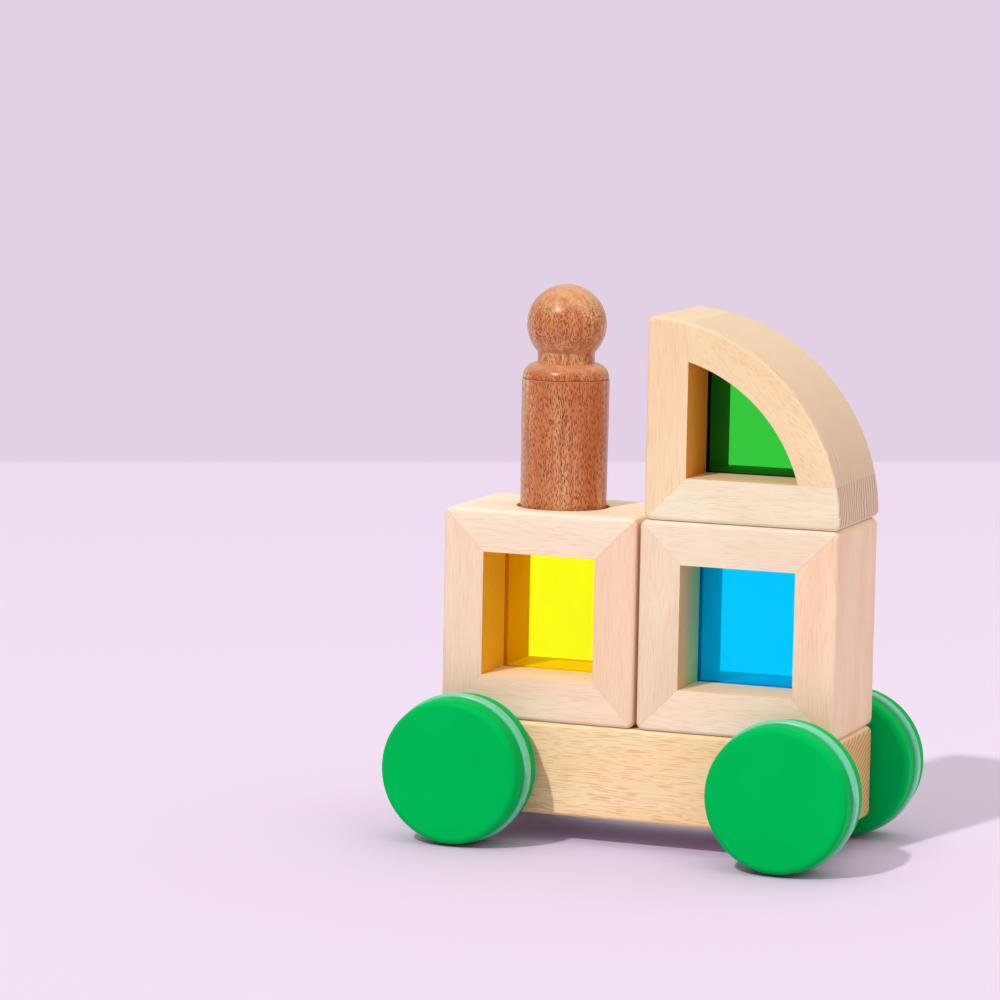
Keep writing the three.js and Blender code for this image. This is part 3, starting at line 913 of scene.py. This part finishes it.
for end in ("front", "rear"):
    body = f"{end}_wheelset"
    for side, way in (("left", 1), ("right", -1)):
        node = f"{end}_{side}_wheel"
        low, high = span(node)
        centre = (low + high) / 2
        radius = (high.z - low.z) / 2
        seat = radius - BAND_SEAT
        inner_y, outer_y = (low.y, high.y) if way > 0 else (high.y, low.y)
        bore_end = inner_y + way * BORE_DEPTH
        first_lip = inner_y + way * WHEEL_LIP
        second_lip = inner_y + way * (WHEEL_LIP + BAND_WIDTH)
        outline = [
            (0, bore_end), (WHEEL_BORE, bore_end), (WHEEL_BORE, inner_y), (radius, inner_y),
            (radius, first_lip), (seat, first_lip), (seat, second_lip), (radius, second_lip),
            (radius, outer_y), (0, outer_y),
        ]
        bm = bmesh.new()
        turn_on_axle(bm, outline, centre)
        round_edges(bm, hoops(bm, centre, radius, inner_y, outer_y), WHEEL_RIM, WHEEL_STEPS)
        round_edges(bm, hoops(bm, centre, radius, first_lip, second_lip), LIP_ROUND, LIP_STEPS)
        finish_piece(bm, f"{node}_turned", body, node, green_paint)
    node = f"{end}_axle"
    low, high = span(node)
    bm = bmesh.new()
    lay = Matrix.Translation((low + high) / 2) @ Matrix.Rotation(QUARTER_TURN, 4, "X")
    radius = (high.z - low.z) / 2
    bmesh.ops.create_cone(bm, cap_ends=True, segments=BORE_STEPS, radius1=radius, radius2=radius,
                          depth=high.y - low.y, matrix=lay)
    round_edges(bm, [e for e in bm.edges if on_faces(e, high.y)], LIP_ROUND, LIP_STEPS)
    finish_piece(bm, f"{node}_dowel", body, node, dowel_beech)

# %% [markdown]
# Each wheel wears an elastic band that fills the groove and stands a little proud of it. It is a closed
# profile turned once round, with soft shoulders. A clear band looks milky and takes the colour of what it
# lies on, so the material is an opaque one, tinted by the green of the groove.

# %% Elastic bands
BAND_PROUD = 0.85 * MM
BAND_CLEARANCE = 0.08 * MM
BAND_SHOULDER = 0.9 * MM
BAND_STEPS = 5
elastic, shader = skinned(
    "clear_elastic", shade(112, 214, 170), shade(101, 204, 158), grain=0.0006, patch=0.012,
    rough=(0.22, 0.34), bump=0.02)
set_inputs(shader, {"Specular IOR Level": 0.5})

for end in ("front", "rear"):
    for side in ("left", "right"):
        node = f"{end}_{side}_tyre"
        low, high = span(node)
        centre = (low + high) / 2
        outer = (high.z - low.z) / 2
        inner = outer - BAND_PROUD - BAND_SEAT + BAND_CLEARANCE
        corners = [(inner, low.y), (outer, low.y), (outer, high.y), (inner, high.y)]
        bm = bmesh.new()
        turn_on_axle(bm, corners, centre, closed=True)
        round_edges(bm, hoops(bm, centre, outer, low.y, high.y), BAND_SHOULDER, BAND_STEPS)
        finish_piece(bm, f"{node}_band", f"{end}_wheelset", node, elastic)

# %% [markdown]
# The panes are coloured acrylic sheet, held in the grooves. What is seen through one is multiplied by its
# tint. Rays that only gather light go through a Transparent shader instead of being bent, because Cycles
# finds no lamp behind glass, and the rails beside a pane would miss its coloured glow.

# %% Panes
PANE_EDGE = 0.2 * MM
PANE_STEPS = 2
PANE_CREASE = math.radians(30)
PANES = {
    "rear_block": ("yellow_acrylic", shade(253, 252, 18), shade(249, 248, 22), shade(255, 250, 90)),
    "front_block": ("blue_acrylic", shade(0, 200, 255), shade(0, 197, 253), shade(182, 228, 253)),
    "arch_block": ("green_acrylic", shade(50, 201, 58), shade(54, 197, 62), shade(34, 150, 40)),
}


def acrylic(name, tint, second_tint, cast):
    material, shader = skinned(
        name, tint, second_tint, grain=0.012, patch=0.015, rough=(0.015, 0.05), bump=0.02)
    set_inputs(shader, {"Transmission Weight": 1.0, "IOR": 1.12, "Specular IOR Level": 0.1})
    tree = material.node_tree
    through = add(tree, "ShaderNodeBsdfTransparent", {"Color": cast}).outputs[0]
    path = add(tree, "ShaderNodeLightPath").outputs
    lighting = maths(tree, "MAXIMUM", path["Is Shadow Ray"], path["Is Diffuse Ray"])
    both = add(tree, "ShaderNodeMixShader", {0: lighting, 1: shader.outputs[0], 2: through}).outputs[0]
    tree.links.new(both, tree.nodes["Material Output"].inputs["Surface"])
    return material


for body, (name, *tints) in PANES.items():
    node = f"{body}_window"
    low, high = span(node)
    bm = bmesh.new()
    if body == "arch_block":
        pane_corner = low.x - corner_place.x
        loop = corner_and_arc(bm, low.y, pane_corner, math.hypot(high.x - corner_place.x, pane_corner))
        sheet = bmesh.ops.contextual_create(bm, geom=loop)["faces"]
        risen = bmesh.ops.extrude_face_region(bm, geom=sheet)["geom"]
        bmesh.ops.translate(bm, verts=kind_of(risen, bmesh.types.BMVert), vec=(0, high.y - low.y, 0))
        bmesh.ops.translate(bm, verts=bm.verts, vec=corner_place)
    else:
        bmesh.ops.create_cube(bm, size=1.0)
        bmesh.ops.scale(bm, verts=bm.verts, vec=high - low)
        bmesh.ops.translate(bm, verts=bm.verts, vec=(low + high) / 2)
    bmesh.ops.recalc_face_normals(bm, faces=bm.faces)
    round_edges(bm, [e for e in bm.edges if on_faces(e, high.y)], PANE_EDGE, PANE_STEPS)
    finish_piece(bm, f"{node}_pane", body, node, acrylic(name, *tints), crease=PANE_CREASE)

# %% [markdown]
# The driver is one turning of walnut: a ball for the head, a short neck, rounded shoulders with the line
# that the chisel left, and a plain body that widens a hair upwards. Its arcs are single vertices spun
# about their centres, and then the whole profile is spun about the figure's own axis.

# %% Peg driver
BODY_RADIUS = 13.0 * MM
FOOT_RADIUS = 12.7 * MM
FOOT_ROUND = 1.2 * MM
FOOT_STEPS = 4
NECK_RADIUS = 8.45 * MM
NECK_LENGTH = 3.2 * MM
HEAD_RADIUS = 11.75 * MM
HEAD_STEPS = 40
CHISEL_LINE = 0.2 * MM
NOTCH_DEPTH = 0.55 * MM
NOTCH_HALF = 0.22 * MM
SHOULDER_STEPS = 10
DRIVER_CREASE = math.radians(35)
WALNUT = {
    "Pale": shade(249, 203, 149), "Deep": shade(199, 115, 65), "Cut Colour": shade(220, 150, 100),
    "Ring Colour": shade(150, 78, 40), "Ring Width": 0.0042, "Ring Wander": 0.010, "Ring Strength": 0.4,
    "Dash Colour": shade(102, 34, 8), "Dash Size": (0.0015, 0.00028, 0.00028), "Dash Reach": 0.47,
    "Dash Strength": 0.8, "Dash On Cut": 0.3,
    "Streak Size": (0.022, 0.0012, 0.0012), "Streak Strength": 0.9, "Rough Low": 0.24,
}

low, high = span("peg_driver")
stand = Vector(((low.x + high.x) / 2, 0, low.z))
head_z = high.z - HEAD_RADIUS
tuck = math.acos(NECK_RADIUS / HEAD_RADIUS)
neck_top = head_z - HEAD_RADIUS * math.sin(tuck)
neck_low = neck_top - NECK_LENGTH
shoulder_radius = BODY_RADIUS - CHISEL_LINE - NECK_RADIUS
shoulder_z = neck_low - shoulder_radius
bm = bmesh.new()
bottom = bm.verts.new(stand)
foot_start = stand + Vector((FOOT_RADIUS - FOOT_ROUND, 0, 0))
foot_centre = stand + Vector((FOOT_RADIUS - FOOT_ROUND, 0, FOOT_ROUND))
foot, foot_end = arc_on(bm, foot_start, foot_centre, -QUARTER_TURN, FOOT_STEPS)
chest = bm.verts.new((stand.x + BODY_RADIUS, 0, shoulder_z - 2 * NOTCH_HALF))
notch = bm.verts.new((stand.x + BODY_RADIUS - NOTCH_DEPTH, 0, shoulder_z - NOTCH_HALF))
shoulder_centre = Vector((stand.x + NECK_RADIUS, 0, shoulder_z))
shoulder_start = shoulder_centre + Vector((shoulder_radius, 0, 0))
shoulder, shoulder_end = arc_on(bm, shoulder_start, shoulder_centre, -QUARTER_TURN, SHOULDER_STEPS)
neck = bm.verts.new((stand.x + NECK_RADIUS, 0, neck_top))
head_centre = Vector((stand.x, 0, head_z))
chin = head_centre + HEAD_RADIUS * Vector((math.cos(tuck), 0, -math.sin(tuck)))
arc_on(bm, chin, head_centre, -(QUARTER_TURN + tuck), HEAD_STEPS)
for pair in ((bottom, foot), (foot_end, chest), (chest, notch), (notch, shoulder), (shoulder_end, neck)):
    bm.edges.new(pair)
bmesh.ops.remove_doubles(bm, verts=bm.verts, dist=TINY)
spin_round(bm, bm.verts[:] + bm.edges[:], stand, UP)
walnut = timber_material(
    "walnut", ALONG_Z, shift=(0.13, 0.07, 0.02), values=WALNUT, bump=0.45, gloss=0.2, cut_range=(0.30, 0.85))
oiled = {"Specular Tint": shade(255, 200, 160), "Coat Weight": 0.5, "Coat Roughness": 0.28}
set_inputs(walnut.node_tree.nodes["Principled BSDF"], oiled)
finish_piece(bm, "driver_turned", "driver", "peg_driver", walnut, crease=DRIVER_CREASE)

# %% [markdown]
# Last, the size of what was made is printed.

# %% Finish
low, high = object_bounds()
print("visual box in mm:", [round((b - a) / MM, 1) for a, b in zip(low, high)])
